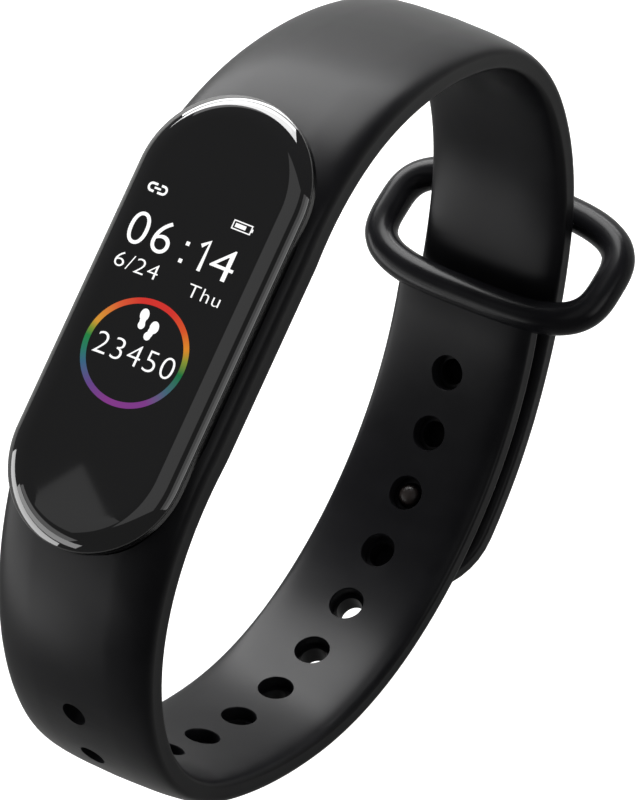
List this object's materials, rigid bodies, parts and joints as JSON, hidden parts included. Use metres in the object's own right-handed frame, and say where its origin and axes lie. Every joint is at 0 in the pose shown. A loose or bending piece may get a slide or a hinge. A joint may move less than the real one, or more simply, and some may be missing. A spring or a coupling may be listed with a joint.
{
  "type": "fitness tracker band",
  "caption": "Wrist activity tracker: a stadium-shaped touch-screen pod pressed into a one-piece rubber strap that closes with a keeper ring, adjusting holes and a stud.",
  "frame": {"origin": "middle of the wrist opening, under the middle of the display, half way across the strap", "axes": "+X across the display and along the wrist, +Y towards the display's 12 o'clock, +Z out of the display"},
  "size_m": [0.0294, 0.082, 0.0707],
  "materials": {
    "strap": "satin moulded",
    "cover_glass": "polished, black back print",
    "adhesive": "foam adhesive",
    "pod_case": "fine moulded texture",
    "window": "polished, infrared-clear",
    "seal": "soft",
    "touch_film": "thin clear film",
    "display": "polished panel",
    "tape": "tape",
    "frame_steel": "satin",
    "flex_film": "polyimide film",
    "circuit_board": "solder mask",
    "chip_resin": "moulded resin",
    "nickel": "plated",
    "antenna_ceramic": "fired",
    "screw_steel": "zinc plated",
    "cell_foil": "laminated foil",
    "led_resin": "clear resin",
    "diode": "polished",
    "gold": "gold plated",
    "spring_steel": "drawn wire",
    "magnet": "sintered",
    "weight": "tungsten alloy",
    "stud": "moulded"
  },
  "bodies": {
    "strap": {"strap_body": "strap"},
    "tip": {"strap_tip": "strap", "closure_stud": "stud", "stud_cap": "stud"},
    "pod": {"cover_glass": "cover_glass", "glass_adhesive": "adhesive", "upper_housing": "pod_case", "lower_housing": "pod_case", "housing_seal": "seal", "sensor_window": "window", "touch_panel": "touch_film", "display_panel": "display", "display_tape": "tape", "display_frame": "frame_steel", "display_flex": "flex_film", "main_board": "circuit_board", "radio_chip": "chip_resin", "memory_chip": "chip_resin", "power_chip": "chip_resin", "motion_sensor": "chip_resin", "crystal": "nickel", "chip_antenna": "antenna_ceramic", "shield_can": "nickel", "board_capacitors": "antenna_ceramic", "board_screws": "screw_steel", "battery_tape": "tape", "battery_cell": "cell_foil", "battery_tabs": "nickel", "sensor_board": "circuit_board", "pulse_leds": "led_resin", "photodiode": "diode", "light_baffle": "tape", "charge_contacts": "gold", "contact_springs": "spring_steel", "motor_base": "nickel", "motor_can": "nickel", "motor_shaft": "spring_steel", "motor_magnet": "magnet"},
    "rotor": {"motor_rotor": "gold", "rotor_weight": "weight"}
  },
  "joints": [
    {"name": "pod_release", "type": "slide", "parent": "strap", "child": "pod", "axis": [0, 0, 1], "range_m": [0, 0.014]},
    {"name": "tip_flex", "type": "hinge", "parent": "strap", "child": "tip", "pos_m": [0, 0.02303, -0.02846], "axis": [1, 0, 0], "range_deg": [0, 25], "stiffness_Nm_per_rad": 0.06},
    {"name": "motor_spin", "type": "hinge", "parent": "pod", "child": "rotor", "pos_m": [0, 0.0155, 0.0282], "axis": [0, 0, 1], "continuous": true}
  ]
}
